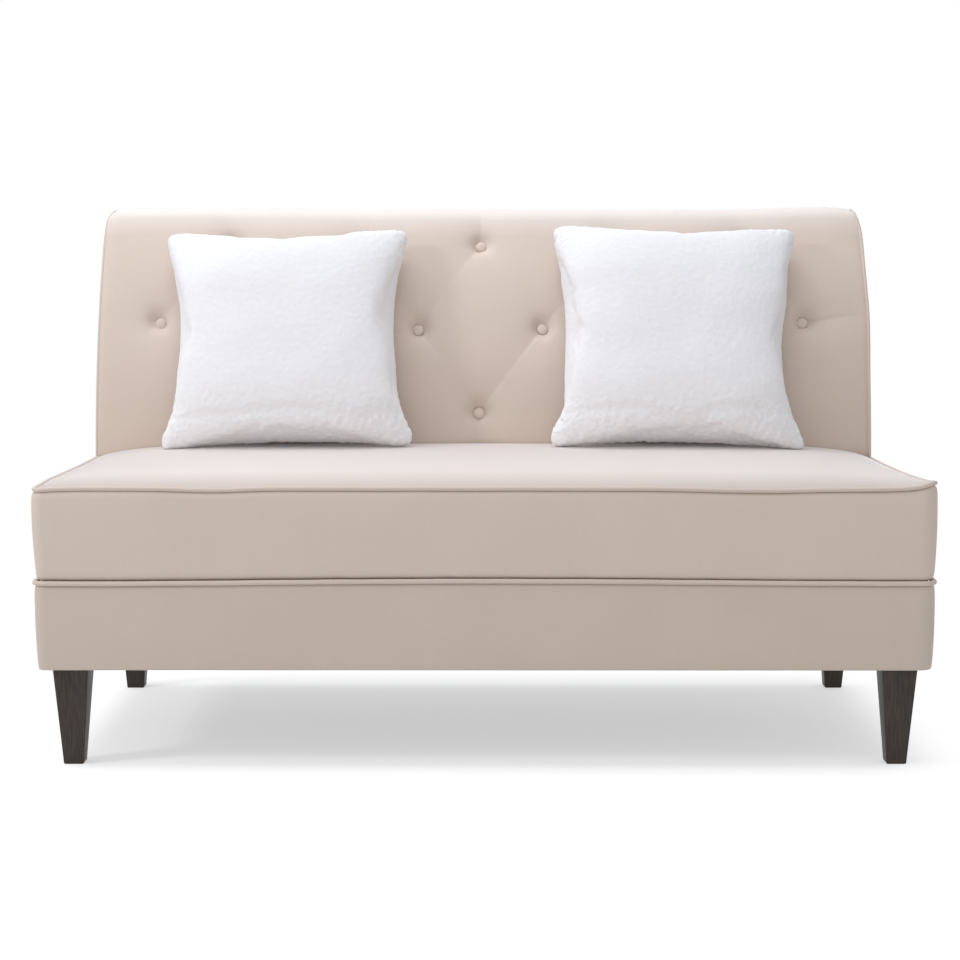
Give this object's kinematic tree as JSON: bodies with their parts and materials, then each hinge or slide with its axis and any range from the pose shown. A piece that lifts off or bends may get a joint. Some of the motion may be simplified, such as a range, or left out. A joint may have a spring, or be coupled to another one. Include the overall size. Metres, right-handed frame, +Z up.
{
  "type": "armless settee",
  "caption": "Armless settee: sprung welted seat, button-tufted back that rolls over at the top, square tapered dark wood legs and loose square plush pillows to lean on.",
  "frame": {"origin": "on the floor, under the middle of the whole piece", "axes": "+X along the seat to the right as the picture shows it, -Y out of the front of the seat, +Z up"},
  "size_m": [1.35, 0.7645, 0.8598],
  "materials": {
    "upholstery_cloth": "matte plain weave",
    "plush": "short soft pile",
    "foam": "matte foam",
    "hessian": "coarse open weave",
    "cambric": "matte thin cloth",
    "frame_wood": "sawn, bare",
    "leg_wood": "dark stain, satin lacquer",
    "spring_steel": "bright wire"
  },
  "bodies": {
    "sofa": {"front_seat_rail": "frame_wood", "rear_seat_rail": "frame_wood", "left_seat_rail": "frame_wood", "right_seat_rail": "frame_wood", "spring_cross_rail": "frame_wood", "left_front_corner_block": "frame_wood", "left_rear_corner_block": "frame_wood", "right_front_corner_block": "frame_wood", "right_rear_corner_block": "frame_wood", "left_back_post": "frame_wood", "right_back_post": "frame_wood", "back_top_rail": "frame_wood", "back_hessian": "hessian", "seat_spring_1": "spring_steel", "seat_spring_2": "spring_steel", "seat_spring_3": "spring_steel", "seat_spring_4": "spring_steel", "seat_spring_5": "spring_steel", "front_spring_strip": "spring_steel", "rear_spring_strip": "spring_steel", "seat_foam": "foam", "back_foam": "foam", "seat_top_panel": "upholstery_cloth", "seat_boxing": "upholstery_cloth", "base_band": "upholstery_cloth", "upper_seat_welt": "upholstery_cloth", "lower_seat_welt": "upholstery_cloth", "back_tufted_cover": "upholstery_cloth", "left_back_side_panel": "upholstery_cloth", "right_back_side_panel": "upholstery_cloth", "left_back_welt": "upholstery_cloth", "right_back_welt": "upholstery_cloth", "outside_back_panel": "upholstery_cloth", "dust_cover": "cambric", "button_01": "upholstery_cloth", "button_02": "upholstery_cloth", "button_03": "upholstery_cloth", "button_04": "upholstery_cloth", "button_05": "upholstery_cloth", "button_06": "upholstery_cloth", "button_07": "upholstery_cloth", "button_08": "upholstery_cloth", "button_09": "upholstery_cloth", "button_10": "upholstery_cloth", "button_11": "upholstery_cloth", "button_12": "upholstery_cloth", "button_13": "upholstery_cloth", "button_14": "upholstery_cloth", "button_15": "upholstery_cloth", "button_16": "upholstery_cloth", "left_front_leg": "leg_wood", "left_rear_leg": "leg_wood", "right_front_leg": "leg_wood", "right_rear_leg": "leg_wood", "left_front_leg_bolt": "spring_steel", "left_rear_leg_bolt": "spring_steel", "right_front_leg_bolt": "spring_steel", "right_rear_leg_bolt": "spring_steel"},
    "left_pillow": {"left_pillow": "plush"},
    "right_pillow": {"right_pillow": "plush"}
  },
  "joints": [
    {"name": "left_pillow_lift", "type": "slide", "parent": "sofa", "child": "left_pillow", "axis": [0, 0, 1], "range_m": [0, 0.45]},
    {"name": "right_pillow_lift", "type": "slide", "parent": "sofa", "child": "right_pillow", "axis": [0, 0, 1], "range_m": [0, 0.45]}
  ]
}
